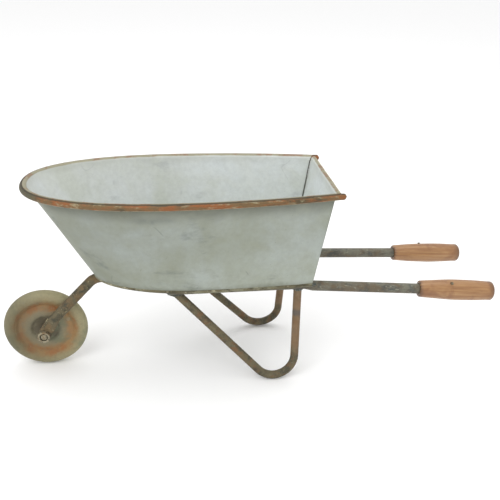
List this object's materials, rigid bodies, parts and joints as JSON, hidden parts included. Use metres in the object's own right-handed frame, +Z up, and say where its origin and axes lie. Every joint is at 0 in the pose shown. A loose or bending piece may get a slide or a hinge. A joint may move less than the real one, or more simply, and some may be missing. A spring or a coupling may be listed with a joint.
{
  "type": "planter wheelbarrow",
  "caption": "Small decorative planter wheelbarrow: flared sheet-metal tub with rolled rim, tube handles with wooden grips, hairpin legs and a stamped disc wheel on a one-sided arm.",
  "frame": {"origin": "middle of the object's footprint, on the ground", "axes": "+X from the wheel to the grips, +Y to the right-hand side of someone who pushes it, +Z up"},
  "size_m": [0.6689, 0.2008, 0.2718],
  "materials": {
    "zinc_sheet": "dull grey zinc with a cloudy patina",
    "rusted_bead": "orange-brown rust with worn grey-green patches",
    "aged_tube": "olive-grey, mottled brown and dark blue-grey",
    "rusted_leg_tube": "tan-brown rust with dark olive patches",
    "painted_wheel": "grey-green with rust rings",
    "plain_steel": "dull worn steel",
    "turned_wood": "orange-brown turned wood, oiled"
  },
  "bodies": {
    "barrow": {"tub_side_sheet": "zinc_sheet", "tub_rear_panel": "zinc_sheet", "tub_floor": "zinc_sheet", "floor_seam": "rusted_bead", "side_rim_bead": "rusted_bead", "side_rim_wire": "plain_steel", "rear_rim_bead": "rusted_bead", "rear_rim_wire": "plain_steel", "left_rail": "aged_tube", "right_rail": "aged_tube", "left_grip": "turned_wood", "right_grip": "turned_wood", "left_grip_nail": "plain_steel", "right_grip_nail": "plain_steel", "left_leg": "rusted_leg_tube", "right_leg": "rusted_leg_tube", "wheel_arm": "aged_tube", "axle_collar": "plain_steel", "axle_rod": "plain_steel", "axle_spacer": "plain_steel", "axle_washers": "plain_steel", "axle_nut": "plain_steel"},
    "wheel": {"wheel_disc_left": "painted_wheel", "wheel_disc_right": "painted_wheel", "wheel_hub_tube": "plain_steel"}
  },
  "joints": [
    {"name": "wheel_spin", "type": "hinge", "parent": "barrow", "child": "wheel", "pos_m": [-0.27794, 0.003, 0.0565], "axis": [0, 1, 0], "continuous": true}
  ]
}
